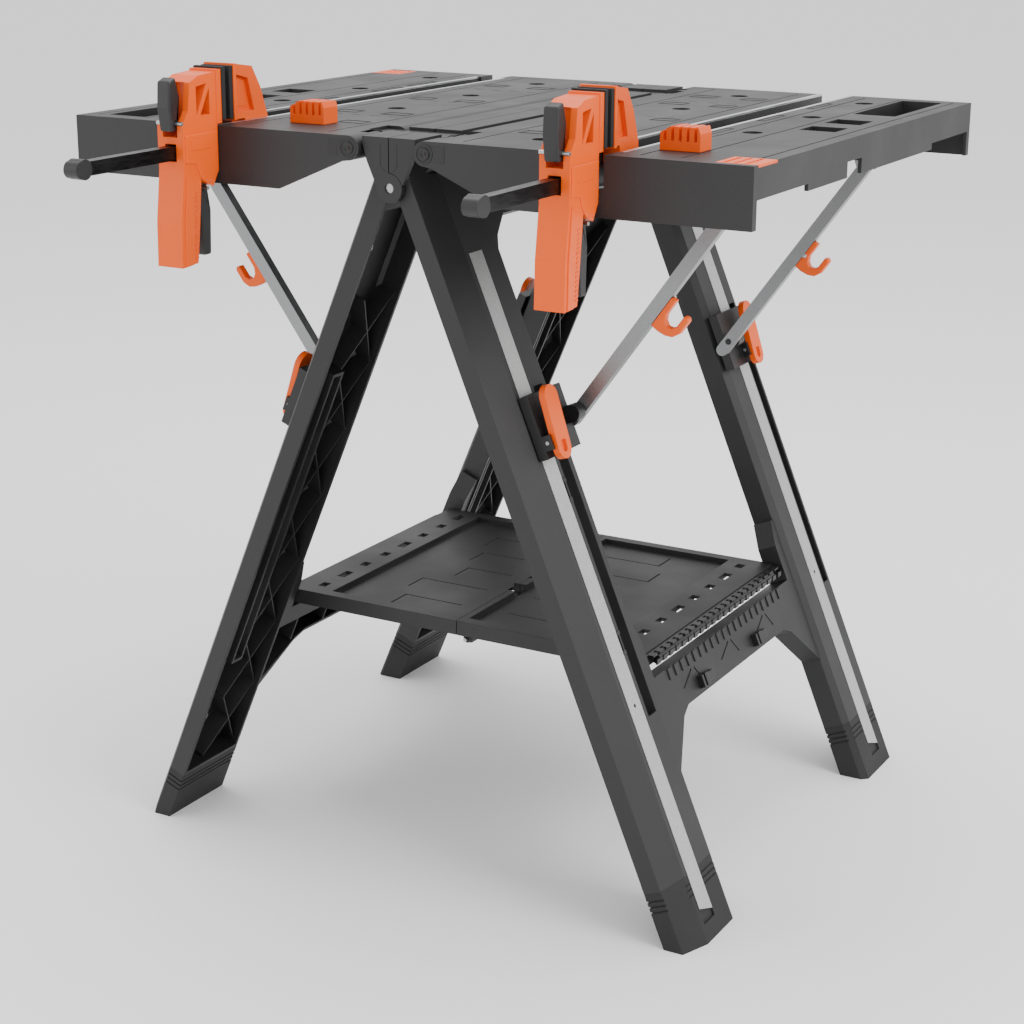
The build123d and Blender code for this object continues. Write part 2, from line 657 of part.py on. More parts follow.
def clamp_housing():
    """Pistol-grip housing on the front edge, with its fixed jaw above the top."""
    x = CLAMP_X
    f = CLAMP_FACE
    side_outline = [(f, 812), (f, 768), (f - 10, 752), (f - 22, 757), (f - 30, 762), (f - 36, 706),
                    (f - 40, 676), (f - 66, 674), (f - 65, 720), (f - 58, 772), (f - 58, 818),
                    (f - 48, 832), (f - 44, 860), (f - 30, 866), (f, 868), (f, 830)]
    body = prism_x(side_outline, x - 16, x + 16)
    body -= prism_x([(f - 34, 826), (f - 12, 826), (f - 12, 858), (f - 34, 855)], x - 20, x + 20)
    body += prism_x([(f - 36, 822), (f - 30, 822), (f - 8, 860), (f - 14, 862)], x - 16, x + 16)
    body -= block(x - 7, x + 7, f - 70, f + 1, 781.5, 799)
    body -= block(x - 9, x + 9, f - 70, f - 37, 806, 860)
    body -= block(x - 9, x + 9, f - 36.5, f - 6, 694, 766)
    body -= rod_x(f - 19, 751, 2, x - 20, x + 20) + rod_x(f - 58, 820, 2, x - 20, x + 20)
    jaw = block(x - 17, x + 17, f - 1, f + 7, 815, 870)
    return body + jaw


def clamp_pad(y0, y1):
    """Soft jaw pad."""
    return block(CLAMP_X - 18, CLAMP_X + 18, y0, y1, 818, 872)


def clamp_bar():
    """Steel bar below the top, with the far jaw's shank on it."""
    bar = block(CLAMP_X - 6, CLAMP_X + 6, -523, 60, 783, 797)
    return bar


def far_jaw():
    """Sliding jaw that rises through the slot."""
    y = CLAMP_FACE
    outline = [(y + 58, 797), (y + 98, 797), (y + 98, 815), (y + 86, 846), (y + 72, 868),
               (y + 30, 874), (y + 28, 815), (y + 58, 815)]
    jaw = prism_x(outline, CLAMP_X - 9, CLAMP_X + 9)
    jaw -= prism_x([(y + 40, 822), (y + 74, 822), (y + 64, 856), (y + 40, 862)],
                   CLAMP_X - 20, CLAMP_X - 4)
    jaw -= prism_x([(y + 40, 822), (y + 74, 822), (y + 64, 856), (y + 40, 862)],
                   CLAMP_X + 4, CLAMP_X + 20)
    jaw += block(CLAMP_X - 19, CLAMP_X + 19, y + 26, y + 31, 816, 874)
    return jaw


def bar_stop():
    """Rounded stop on the free end of the bar."""
    stop = rod_x(-517, 790, 10, CLAMP_X - 8, CLAMP_X + 8)
    stop -= block(CLAMP_X - 6.02, CLAMP_X + 6.02, -523.02, -500, 782.98, 797.02)
    stop += rod_x(-522, 790, 8.5, CLAMP_X - 8, CLAMP_X + 8) - block(0, 400, -523.02, -500, 770, 810)
    return stop


def clamp_trigger():
    """Trigger behind the grip, on a pin at its upper end."""
    f = CLAMP_FACE
    outline = [(f - 28, 758), (f - 12, 758), (f - 6, 728), (f - 8, 680), (f - 18, 680),
               (f - 23, 725)]
    return prism_x(outline, CLAMP_X - 8.5, CLAMP_X + 8.5) - rod_x(f - 19, 751, 2 + PIN_PLAY, 0, 400)


def trigger_pin():
    """Pin across the housing for the trigger."""
    return rod_x(CLAMP_FACE - 19, 751, 2, CLAMP_X - 15.9, CLAMP_X + 15.9)


def release_lever():
    """Release lever in the nose of the housing."""
    f = CLAMP_FACE
    lever = prism_x([(f - 64, 812), (f - 54, 812), (f - 50, 846), (f - 56, 866), (f - 66, 862),
                     (f - 68, 836)], CLAMP_X - 8, CLAMP_X + 8)
    return lever - rod_x(f - 58, 820, 2 + PIN_PLAY, 0, 400)


def release_pin():
    """Pin across the housing for the release lever."""
    return rod_x(CLAMP_FACE - 58, 820, 2, CLAMP_X - 15.9, CLAMP_X + 15.9)


# ---------------------------------------------------------------- bench dogs
def bench_dog(x, y):
    """Ribbed block on a round peg."""
    peg = rod_z(x, y, 9.5, 792, HEIGHT + 0.3)
    head = block(x - 21, x + 21, y - 13, y + 13, HEIGHT + 0.2, HEIGHT + 17)
    head += prism_y([(x - 21, HEIGHT + 17), (x + 21, HEIGHT + 17), (x + 19, HEIGHT + 23),
                     (x - 10, HEIGHT + 23)], y - 13, y + 13)
    for i in range(5):
        gx = x - 17.5 + 8 * i
        head -= block(gx, gx + 3, y - 14, y + 14, HEIGHT + 9, HEIGHT + 25)
    return peg + head


# ---------------------------------------------------------------- build
os.makedirs("parts", exist_ok=True)

blank = leg(-1) + leg(1) + top_beam()
for name, turn, top_s in (("right", 0, 256), ("left", 180, 262)):
    whole = leg_frame(blank, top_s)
    if name == "left":
        for knuckle in panel_knuckles():
            whole += knuckle
        whole -= rod_y(SHELF_PIN_X, SHELF_PIN_Z, 2.5, -165, 165)
    moulding, feet = split_feet(whole)
    save(name + "_leg_frame", Rot(0, 0, turn) * moulding)
    save(name + "_feet", Rot(0, 0, turn) * group([ringed_feet(feet)]))

save_pair("steel_strips", steel_strips())
save_pair("retainer_clips", retainer_clips())
save_pair("panel_cleats", panel_cleats())
save_pair("hinge_pins", hinge_pins())
save("pivot_pins", pivot_pins())
save_pair("top_panel", top_panel())
save_pair("slot_rails", slot_rails())
save_pair("corner_insert", corner_insert())
save_pair("stay_brackets", stay_brackets())
save_pair("stays", stays())
save_pair("stay_hooks", stay_hooks())
save_pair("sliders", group(sliders()))
save_pair("latch_pins", latch_pins())
save_pair("front_latch", latch(-1))
save_pair("back_latch", latch(1))

save("shelf_left_half", shelf_left_half())
save("shelf_right_half", shelf_right_half())
save("shelf_end_leaf", shelf_end_leaf())
save("shelf_end_pin", half_turn(rod_y(SHELF_PIN_X, SHELF_PIN_Z, 2.5, -165, 165)))
save("shelf_centre_pin", rod_y(0, SHELF_MID_Z, 2, -165, 165))

for name, shift in (("right", 0), ("left", -2 * CLAMP_X)):
    place = Pos(shift, 0, 0)
    save(name + "_clamp_housing", place * clamp_housing())
    save(name + "_clamp_near_pad", place * clamp_pad(CLAMP_FACE + 7.2, CLAMP_FACE + 13))
    save(name + "_clamp_far_pad", place * clamp_pad(CLAMP_FACE + 20, CLAMP_FACE + 25.8))
    save(name + "_clamp_bar", place * clamp_bar())
    save(name + "_clamp_far_jaw", place * far_jaw())
    save(name + "_clamp_bar_stop", place * bar_stop())
    save(name + "_clamp_trigger", place * clamp_trigger())
    save(name + "_clamp_release", place * release_lever())
    save(name + "_clamp_pins", place * group([trigger_pin(), release_pin()]))

save("right_bench_dog", bench_dog(DOG_X[1], DOG_Y[0]))
save("left_bench_dog", bench_dog(-DOG_X[0], DOG_Y[0]))

print("stay length", round(STAY_LENGTH, 2), "angle", round(STAY_ANGLE, 2))
print("slider pin", round(PIN_X, 2), round(PIN_Z, 2), "up the leg", round(PIN_S, 2))
print("top folds", round(90 - TILT, 3), "degrees, legs close", round(2 * TILT, 3))
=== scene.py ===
# %% [markdown]
# # A folding sawhorse, dressed in its real finishes
# The shapes and joints of this table come from CAD. This lesson gives every part its finish and
# adds the small things that carry no load: screw and rivet heads, hinge rings, grip ribs, clamp
# covers, shelf links and raised lines. Blender works in metres, and the floor is z = 0. Sizes
# that are easier to read in millimetres are turned to metres by the constant MM.

import json
import math

import bpy
import numpy as np
from mathutils import Matrix, Vector


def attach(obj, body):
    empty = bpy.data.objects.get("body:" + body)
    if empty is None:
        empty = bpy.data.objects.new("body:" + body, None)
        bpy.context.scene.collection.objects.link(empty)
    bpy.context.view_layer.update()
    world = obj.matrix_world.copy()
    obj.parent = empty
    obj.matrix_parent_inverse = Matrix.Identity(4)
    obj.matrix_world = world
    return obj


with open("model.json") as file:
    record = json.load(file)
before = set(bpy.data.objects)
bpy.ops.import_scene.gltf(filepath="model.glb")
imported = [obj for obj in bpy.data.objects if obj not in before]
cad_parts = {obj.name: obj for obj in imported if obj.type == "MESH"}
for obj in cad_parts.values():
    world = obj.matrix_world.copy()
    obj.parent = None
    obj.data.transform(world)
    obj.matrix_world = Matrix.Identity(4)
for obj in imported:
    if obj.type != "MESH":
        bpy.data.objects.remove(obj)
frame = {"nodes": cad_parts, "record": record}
nodes = frame["nodes"]
slot_of = {p["node"]: p["material_slot"] for p in frame["record"]["subparts"]}
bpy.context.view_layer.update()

# %% [markdown]
# ## Sizes that several pieces share
# The left half is the right half turned half a turn about the vertical, so one sign places
# both. The lengths are the CAD model's own, in millimetres.

# %% Shared sizes
MM = 0.001
SIDES = (("right", 1), ("left", -1))
HINGE_X, HINGE_Z = 44.5, 800.5  # the axis of a top's hinge pins
SKIRT_Y = 317.5                 # outer face of a top's skirt
SURFACE_Z = 813.0               # the work surface
CLAMP_X = 221.0                 # middle plane of a clamp
print("work surface at", SURFACE_Z, "mm")

# %% [markdown]
# ## Colour and node helpers
# Paint and plastic colours are usually quoted as hex codes, which are stored on a curve. A
# renderer adds light, so it needs linear values. One function does that conversion. A second
# one places a shader node and fills its sockets, which keeps each recipe below readable.

# %% Helpers for colours and nodes


def linear(code):
    """Linear RGBA of a hex colour: c/12.92 below 0.04045, else ((c+0.055)/1.055)^2.4."""
    values = [int(code[i:i + 2], 16) / 255 for i in (1, 3, 5)]
    return [v / 12.92 if v <= 0.04045 else ((v + 0.055) / 1.055) ** 2.4 for v in values] + [1.0]


def add(tree, kind, inputs=None, **settings):
    """Adds a node, sets its properties, and sets or links each named input."""
    node = tree.nodes.new(kind)
    for key, value in settings.items():
        setattr(node, key, value)
    for key, value in (inputs or {}).items():
        if isinstance(value, bpy.types.NodeSocket):
            tree.links.new(value, node.inputs[key])
        else:
            node.inputs[key].default_value = value
    return node


def blank(name):
    """A material with only its output and principled shader, and object coordinates."""
    mat = bpy.data.materials.new(name)
    mat.use_nodes = True
    tree = mat.node_tree
    tree.nodes.clear()
    out = add(tree, "ShaderNodeOutputMaterial")
    shader = add(tree, "ShaderNodeBsdfPrincipled")
    tree.links.new(shader.outputs["BSDF"], out.inputs["Surface"])
    place = add(tree, "ShaderNodeTexCoord").outputs["Object"]
    return mat, tree, shader, place


def per_mm(size):
    """Texture scale that gives features of this size in millimetres."""
    return 1000.0 / size


def mix_colour(tree, factor, low, high):
    """A ramp between two colours, driven by a value from 0 to 1."""
    ramp = add(tree, "ShaderNodeValToRGB", {"Fac": factor})
    ramp.color_ramp.elements[0].color = low
    ramp.color_ramp.elements[1].color = high
    return ramp


def spread(tree, value, low, high, out_low, out_high):
    """Maps low..high to out_low..out_high, clamped."""
    return add(tree, "ShaderNodeMapRange", {"Value": value, "From Min": low, "From Max": high,
                                            "To Min": out_low, "To Max": out_high}).outputs[0]


# %% [markdown]
# ## Moulded plastic
# The frames, tops and shelf are finished as polypropylene from an etched steel mould. The etch
# leaves a fine sand texture that breaks up reflections, and thick spots cool more slowly, which
# shows as faint cloudy changes of gloss. A noise and a cell pattern make the etch, a large soft
# noise makes the clouds, and a small edge radius is given to every corner, as a mould has none
# that is truly sharp. Real etching is finer than a view of the whole table can show, so its
# grain is drawn coarser, at about a millimetre. Texture painting would need an unwrap.

# %% Moulded plastic recipe


def moulded_plastic(name, colour, pale, grain=0.7, depth=0.05, rough=0.5, radius=0.8):
    """Etched injection moulding; colours are hex, sizes in millimetres."""
    mat, tree, shader, place = blank(name)
    cloud = add(tree, "ShaderNodeTexNoise", {"Vector": place, "Scale": per_mm(90), "Detail": 3.0})
    sand = add(tree, "ShaderNodeTexNoise", {"Vector": place, "Scale": per_mm(grain), "Detail": 2.0})
    pit = add(tree, "ShaderNodeTexVoronoi", {"Vector": place, "Scale": per_mm(grain * 2.2)})
    speck = add(tree, "ShaderNodeTexNoise", {"Vector": place, "Scale": per_mm(2.6), "Detail": 4.0})
    tone = spread(tree, cloud.outputs["Fac"], 0.3, 0.7, 0.0, 0.6)
    fine = spread(tree, speck.outputs["Fac"], 0.35, 0.7, 0.0, 0.4)
    total = add(tree, "ShaderNodeMath", {0: tone, 1: fine}, operation="ADD").outputs[0]
    colour_mix = mix_colour(tree, total, linear(colour), linear(pale))
    tree.links.new(colour_mix.outputs["Color"], shader.inputs["Base Color"])
    gloss = spread(tree, cloud.outputs["Fac"], 0.3, 0.7, rough - 0.05, rough + 0.08)
    tree.links.new(gloss, shader.inputs["Roughness"])
    height = add(tree, "ShaderNodeMath", {0: sand.outputs["Fac"], 1: pit.outputs["Distance"]},
                 operation="ADD").outputs[0]
    edge = add(tree, "ShaderNodeBevel", {"Radius": radius * MM}, samples=4)
    bump = add(tree, "ShaderNodeBump", {"Height": height, "Strength": 0.55,
                                        "Distance": depth * MM, "Normal": edge.outputs[0]})
    tree.links.new(bump.outputs[0], shader.inputs["Normal"])
    shader.inputs["IOR"].default_value = 1.49
    return mat


# %% [markdown]
# ## Coloured plastic
# The levers, hooks, corner inserts, clamp bodies and dogs are finished as dyed nylon. It is
# glossier than the frame and lets a little light in. Subsurface scattering of about a millimetre
# gives that.

# %% Coloured nylon recipe


def dyed_nylon(name, colour, rough=0.36):
    """Dyed nylon with slight scattering and a soft sheen of fine moulding grain."""
    mat = moulded_plastic(name, colour, colour, grain=0.9, depth=0.02, rough=rough, radius=0.9)
    tree = mat.node_tree
    shader = next(n for n in tree.nodes if n.type == "BSDF_PRINCIPLED")
    shader.inputs["Specular IOR Level"].default_value = 0.3
    shader.inputs["Subsurface Weight"].default_value = 0.05
    shader.inputs["Subsurface Radius"].default_value = (1.0, 0.35, 0.12)
    shader.inputs["Subsurface Scale"].default_value = 1.2 * MM
    return mat


# %% [markdown]
# ## Metals
# The strips are finished as galvanised steel: zinc crystals give a fine speckle that changes
# gloss from grain to grain. The rails are drawn aluminium, so their scratches run one way. Pins
# and brackets are zinc plated, the stays are painted and the clamp bars are blackened. All share
# one recipe, with stretched noise for the drawing lines and cells for the crystals.

# %% Metal recipe


def metal(name, colour, pale, crystal=3.0, streak=(1, 1, 1), rough=(0.28, 0.46), depth=0.02):
    """Metal with crystals of a size in millimetres, or drawing lines along one axis."""
    mat, tree, shader, place = blank(name)
    stretch = add(tree, "ShaderNodeMapping", {"Vector": place, "Scale": streak}).outputs[0]
    cells = add(tree, "ShaderNodeTexVoronoi", {"Vector": stretch, "Scale": per_mm(crystal)})
    fine = add(tree, "ShaderNodeTexNoise", {"Vector": stretch, "Scale": per_mm(crystal / 2),
                                            "Detail": 5.0})
    tone = add(tree, "ShaderNodeSeparateColor", {"Color": cells.outputs["Color"]}).outputs[0]
    both = add(tree, "ShaderNodeMath", {0: tone, 1: fine.outputs["Fac"]}, operation="ADD")
    half = add(tree, "ShaderNodeMath", {0: both.outputs[0], 1: 0.5}, operation="MULTIPLY")
    ramp = mix_colour(tree, half.outputs[0], linear(colour), linear(pale))
    tree.links.new(ramp.outputs["Color"], shader.inputs["Base Color"])
    gloss = spread(tree, half.outputs[0], 0.2, 0.8, rough[0], rough[1])
    tree.links.new(gloss, shader.inputs["Roughness"])
    edge = add(tree, "ShaderNodeBevel", {"Radius": 0.4 * MM}, samples=4)
    bump = add(tree, "ShaderNodeBump", {"Height": fine.outputs["Fac"], "Strength": 0.4,
                                        "Distance": depth * MM, "Normal": edge.outputs[0]})
    tree.links.new(bump.outputs[0], shader.inputs["Normal"])
    shader.inputs["Metallic"].default_value = 1.0
    return mat


# %% [markdown]
# ## One finish for each slot of the record
# The names on the left are the record's slots. Each CAD node gets the finish of its slot.

# %% Make the finishes and give them to the nodes
FINISH = {
    "frame_plastic": moulded_plastic("Etched_polypropylene_frame", "#121213", "#1c1c1d"),
    "top_plastic": moulded_plastic("Etched_polypropylene_top", "#141415", "#1f1f20", grain=0.9),
    "shelf_plastic": moulded_plastic("Etched_polypropylene_shelf", "#111112", "#1a1a1b"),
    "foot_plastic": moulded_plastic("Moulded_soft_foot_rubber", "#0f0f0f", "#171717", rough=0.68),
    "clip_plastic": moulded_plastic("Moulded_nylon_black_clip", "#0c0c0c", "#141414", rough=0.42),
    "slider_plastic": moulded_plastic("Moulded_nylon_black_slider", "#09090a", "#101011",
                                      rough=0.42),
    "clamp_plastic": moulded_plastic("Moulded_nylon_black_clamp", "#141415", "#1f1f20",
                                     rough=0.44),
    "pad_rubber": moulded_plastic("Pressed_rubber_pad", "#141415", "#1c1c1d", rough=0.75,
                                  grain=1.4),
    "orange_plastic": dyed_nylon("Dyed_nylon_orange", "#e65600"),
    "galvanised_strip": metal("Galvanised_steel_strip", "#a9aaa9", "#c9cac9", crystal=1.6,
                              rough=(0.38, 0.55)),
    "aluminium_rail": metal("Drawn_aluminium_rail", "#b4b5b6", "#d2d3d4", crystal=1.0,
                            streak=(1, 0.04, 1)),
    "steel_pin": metal("Zinc_plated_steel_pin", "#9b9c9c", "#bdbebe", crystal=1.2),
    "steel_bracket": metal("Zinc_plated_steel_bracket", "#8b8c8c", "#a5a6a6", crystal=2.0),
    "stay_steel": metal("Painted_steel_tube_stay", "#7d7e7f", "#969798", crystal=0.8,
                        rough=(0.35, 0.5)),
    "bar_steel": metal("Blackened_steel_bar", "#2a2b2c", "#3c3d3e", crystal=1.2,
                       streak=(1, 0.1, 1)),
}
for name, node in nodes.items():
    finish = FINISH[slot_of[name]]
    if not node.data.materials:
        node.data.materials.append(finish)
    for i in range(len(node.data.materials)):
        node.data.materials[i] = finish
print("finishes:", len(FINISH))

# %% [markdown]
# ## Rounded edges on the hooks and clamp levers
# A shader can only fake a small edge radius, and these parts are rounded more. A weld joins the
# loose triangles of the CAD mesh and a bevel rounds its edges by one or two millimetres. Both
# are modifiers, so the stored mesh stays as it came, but the part as shown is 1 to 3 percent
# smaller than the CAD's. On parts with finely divided arcs a bevel adds faces and rounds
# nothing, because their short edges hold its width near zero, so those have none.

# %% Weld and bevel
ROUNDED = {"stay_hooks": 1.6, "clamp_trigger": 1.6, "clamp_release": 2.0}
for part, width in ROUNDED.items():
    for label, _ in SIDES:
        node = nodes[label + "_" + part]
        node.modifiers.new("join_faces", "WELD").merge_threshold = 0.02 * MM
        bevel = node.modifiers.new("round_edges", "BEVEL")
        bevel.width, bevel.segments, bevel.limit_method = width * MM, 3, "ANGLE"
        bevel.angle_limit = math.radians(35)
print("rounded nodes:", 2 * len(ROUNDED))

# %% [markdown]
# ## Small turned parts
# Screw heads, rivets and hinge rings are bodies of revolution. A profile of (radius, height) pairs
# swept round an axis makes each of them, the way a lathe would, with a cross cut into the
# screws by lowering the points that lie in its arms.

# %% Lathe helper


def piece(name, verts, faces, body, slot_name, smooth=True):
    """A mesh that rides on a CAD body and takes the finish of a slot."""
    mesh = bpy.data.meshes.new(name)
    mesh.from_pydata([tuple(v) for v in verts], [], [tuple(int(i) for i in f) for f in faces])
    mesh.update()
    if smooth:
        mesh.polygons.foreach_set("use_smooth", np.ones(len(mesh.polygons), bool))
    obj = bpy.data.objects.new(name, mesh)
    bpy.context.scene.collection.objects.link(obj)
    mesh.materials.append(FINISH[slot_name])
    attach(obj, body)
    return obj


def grid_faces(rows, cols, start=0):
    """Quads over a grid whose columns close on themselves."""
    i, j = np.meshgrid(np.arange(rows - 1), np.arange(cols), indexing="ij")
    k = (j + 1) % cols
    a = start + i * cols
    return np.stack([a + j, a + k, a + cols + k, a + cols + j], -1).reshape(-1, 4)


def turned(centre, axis, profile, segments=32, cross=0.0):
    """Surface of revolution p(t, a) = c + h(t) n + r(t) (cos a u + sin a v)."""
    n = np.array(axis, float) / np.linalg.norm(axis)
    u = np.cross(n, (0.3, 0.2, 0.93))
    u /= np.linalg.norm(u)
    v = np.cross(n, u)
    prof = np.array(profile, float)
    angle = np.linspace(0, 2 * math.pi, segments, endpoint=False)
    r, a = np.meshgrid(prof[:, 0], angle, indexing="ij")
    h = np.repeat(prof[:, 1:2], segments, 1)
    if cross:
        arm = np.minimum(abs(r * np.cos(a)), abs(r * np.sin(a)))
        cut = (arm < 0.16 * prof[:, 0].max()) & (r < 0.62 * prof[:, 0].max())
        h = h - cross * cut
    pts = np.array(centre) + h[..., None] * n + r[..., None] * (
        np.cos(a)[..., None] * u + np.sin(a)[..., None] * v)
    return pts.reshape(-1, 3), grid_faces(len(prof), segments)


def many(name, parts, body, slot_name):
    """Joins several point and face lists into one piece."""
    verts, faces, start = [], [], 0
    for pts, quads in parts:
        verts.append(pts)
        faces.append(quads + start)
        start += len(pts)
    return piece(name, np.concatenate(verts), np.concatenate(faces), body, slot_name)


def screw_profile(radius, height):
    """Domed head: a straight rim, then (r cos a, h (0.35 + 0.65 sin a)) up to the middle."""
    rim = [(radius, 0.0), (radius, height * 0.35)]
    dome = [(radius * math.cos(a) + 1e-6, height * (0.35 + 0.65 * math.sin(a)))
            for a in np.linspace(0, 1, 9) * math.pi / 2]
    return np.array(rim + dome)


# %% [markdown]
# ## Screws in the legs
# Screw heads sit in the hollow side of each leg. The leg leans, so a point is given by its depth
# from the inner face and its distance up the leg, and turned into X and Z. The hinges get a ring
# and a pin cap at each end, and each hook's plate gets a rivet head.

# %% Screws and rivets
LEG_LEAN = math.atan(0.4185)  # from a leg's run over its rise
LEG_FOOT_X = 0.321            # its inner face at the floor, in metres
C, S = math.cos(LEG_LEAN), math.sin(LEG_LEAN)
RIVET_X, RIVET_Y, RIVET_Z = 248.5, 187.5, 642.0  # on the hook plate's inner face


def leg_point(side, depth, y, up):
    """Point of a leg frame; side is 1 for the right frame and -1 for the left one."""
    x = LEG_FOOT_X + depth * MM * C - up * MM * S
    return np.array([side * x, side * y * MM, depth * MM * S + up * MM * C])


for label, side in SIDES:
    inward = (-side * C, 0, -S)
    heads = []
    for y in (-251.5, 251.5):
        for up in (110, 256, 420, 600, 735):
            heads.append(turned(leg_point(side, 28, y, up), inward,
                                screw_profile(0.0042, 0.0026), cross=0.0011))
    many(label + "_leg_screw_heads", heads, label + "_frame", "steel_pin")
    rings = []
    for end in (-1, 1):
        ring = [(0.0082, 0.0), (0.0085, 0.0006), (0.0098, 0.0006), (0.0101, 0.0), (0.0082, 0.0)]
        centre = (side * HINGE_X * MM, end * SKIRT_Y * MM, HINGE_Z * MM)
        rings.append(turned(centre, (0, end, 0), ring, 40))
    many(label + "_hinge_rings", rings, label + "_top", "top_plastic")
    caps = []
    for end in (-1, 1):
        cap = [(0.0063, 0.0), (0.0063, 0.0007), (0.0056, 0.0012), (0.0030, 0.0012),
               (0.0028, 0.0007), (0.000001, 0.0007)]
        centre = (side * HINGE_X * MM, end * (SKIRT_Y + 0.1) * MM, HINGE_Z * MM)
        caps.append(turned(centre, (0, end, 0), cap, 36))
    many(label + "_hinge_pin_caps", caps, label + "_frame", "slider_plastic")
    rivets = []
    for end in (-1, 1):
        centre = (side * RIVET_X * MM, side * end * RIVET_Y * MM, RIVET_Z * MM)
        rivets.append(turned(centre, (0, -side * end, 0), screw_profile(0.0028, 0.0012)))
    many(label + "_stay_rivet_heads", rivets, label + "_stays_pair", "steel_pin")
    print(label, "screws:", len(heads), "rings:", len(rings), "caps:", len(caps),
          "rivets:", len(rivets))

# %% [markdown]
# ## Plates and blocks
# The other small parts are flat plates with softened edges. A plate is a polygon given in two
# axes and pushed along the third. Many of them go in one mesh, and a bevel modifier of up to
# 0.7 mm rounds them together, as a mould or a press does.

# %% Plate helper
AXES = {"x": (1, 2, 0), "y": (0, 2, 1), "z": (0, 1, 2)}


def plate(outline, axis, start, end):
    """Prism: an outline in millimetres, carried from start to end along one axis."""
    first, second, third = AXES[axis]
    n = len(outline)
    pts = np.zeros((2 * n, 3))
    pts[:, first] = np.tile([p[0] for p in outline], 2)
    pts[:, second] = np.tile([p[1] for p in outline], 2)
    pts[:n, third], pts[n:, third] = start, end
    rim = [(i, (i + 1) % n, n + (i + 1) % n, n + i) for i in range(n)]
    return pts * MM, [tuple(range(n))[::-1], tuple(range(n, 2 * n))] + rim


def block(x0, x1, y0, y1, z0, z1):
    """Box between two corners, in millimetres."""
    return plate([(x0, y0), (x1, y0), (x1, y1), (x0, y1)], "z", z0, z1)


def plates(name, parts, body, slot_name, soften=0.5, turn=1):
    """Joins plates into one piece with softened edges; turn is -1 for the left half."""
    verts, faces = [], []
    for pts, polygons in parts:
        start = sum(len(v) for v in verts)
        verts.append(pts * (turn, turn, 1))
        faces += [tuple(i + start for i in f) for f in polygons]
    obj = piece(name, np.concatenate(verts), faces, body, slot_name, smooth=False)
    obj.data.validate()
    bevel = obj.modifiers.new("soft_edges", "BEVEL")
    bevel.width, bevel.segments, bevel.limit_method = soften * MM, 2, "ANGLE"
    return obj


# %% [markdown]
# ## Clamp covers and grip
# Each side of a clamp's body carries a shield-shaped cover over the bar and a row of short ribs
# down the edge of the grip, so that fingers don't slip. The ribs follow a straight line from the
# cover to the grip's end, evenly spaced. Webs on the far jaw are thin plates inside its outline.

# %% Clamp details
FACE = -317.9  # the housing's face, just clear of the skirt
GRIP_RIBS = 16


def clamp_details(label, x):
    """Covers, ribs, blank plates and jaw webs of one clamp, whose middle plane is at x."""
    shield = [(FACE - 55, 808), (FACE - 2, 808), (FACE - 2, 774), (FACE - 9, 757),
              (FACE - 27, 759), (FACE - 33, 766), (FACE - 38, 778), (FACE - 55, 780)]
    spine = [(FACE - 61, 674.5), (FACE - 49, 675.3), (FACE - 46, 720), (FACE - 42, 762),
             (FACE - 54, 772), (FACE - 60, 722)]
    side_parts, ribs = [], []
    for s0, s1 in ((x - 17.4, x - 15.6), (x + 15.6, x + 17.4)):
        side_parts.append(plate(shield, "x", s0, s1))
        side_parts.append(plate(spine, "x", s0, s1))
    for t in np.arange(GRIP_RIBS) / (GRIP_RIBS - 1):
        y, z = FACE - 41.5 + 3.2 * t, 682 + 66 * t
        for s0, s1 in ((x - 16.8, x - 15.5), (x + 15.5, x + 16.8)):
            ribs.append(block(s0, s1, y - 3.6, y + 2.0, z - 1.0, z + 1.0))
    plates(label + "_clamp_covers", side_parts, label + "_clamp", "orange_plastic", 0.7)
    plates(label + "_clamp_grip_ribs", ribs, label + "_clamp", "orange_plastic", 0.35)
    blank_label = [block(x - 17.9, x - 17.3, FACE - 46, FACE - 12, 792, 802),
                   block(x + 17.3, x + 17.9, FACE - 46, FACE - 12, 792, 802)]
    plates(label + "_clamp_blank_plates", blank_label, label + "_clamp", "orange_plastic", 0.2)
    jaw = [(FACE + 46, 824), (FACE + 70, 824), (FACE + 62, 854), (FACE + 46, 857)]
    inner = [(FACE + 49, 827), (FACE + 66, 827), (FACE + 60, 850), (FACE + 49, 853)]
    rim = [plate(jaw, "x", x - 4.6, x - 4.0), plate(jaw, "x", x + 4.0, x + 4.6),
           plate(inner, "x", x - 5.0, x - 4.4), plate(inner, "x", x + 4.4, x + 5.0)]
    plates(label + "_far_jaw_webs", rim, label + "_clamp_slide", "orange_plastic", 0.2)


for label, side in SIDES:
    clamp_details(label, side * CLAMP_X)
print("grip ribs a side:", GRIP_RIBS)

# %% [markdown]
# ## Hinge recess shade and the head's front
# Beside each hinge pin the skirt has a square recess, which reads as black from its shade. That
# shade is painted: a thin black plate just proud of the skirt stands in for it. The head's front
# has a fine bent line on each side.
# Both are shallow enough to be plates of a few tenths of a millimetre.

# %% Hinge and head details
HEAD_Y = 312.0  # the front face of the head

for label, side in SIDES:
    # Black plates over the recesses are painted shade, standing in for the dark inside each recess.
    recess_shade = []
    for end in (-1, 1):
        y0, y1 = sorted((end * (SKIRT_Y - 0.05), end * (SKIRT_Y + 0.15)))
        corner = [(56, 792), (68, 792), (68, 809), (50, 809), (55, 806), (58, 801), (57.5, 796)]
        recess_shade.append(plate(corner, "y", y0, y1))
    plates(label + "_hinge_recess_shade", recess_shade, label + "_top", "clip_plastic", 0.05, side)
    lines = []
    for end in (-1, 1):
        y0, y1 = sorted((end * (HEAD_Y - 0.05), end * (HEAD_Y + 0.15)))
        lines.append(plate([(9.4, 785), (10.2, 785), (10.2, 806), (9.4, 806)], "y", y0, y1))
        lines.append(plate([(10.2, 785), (9.4, 785.4), (4.6, 779.4), (5.4, 779)], "y", y0, y1))
    plates(label + "_head_lines", lines, label + "_frame", "clip_plastic", 0.05, side)

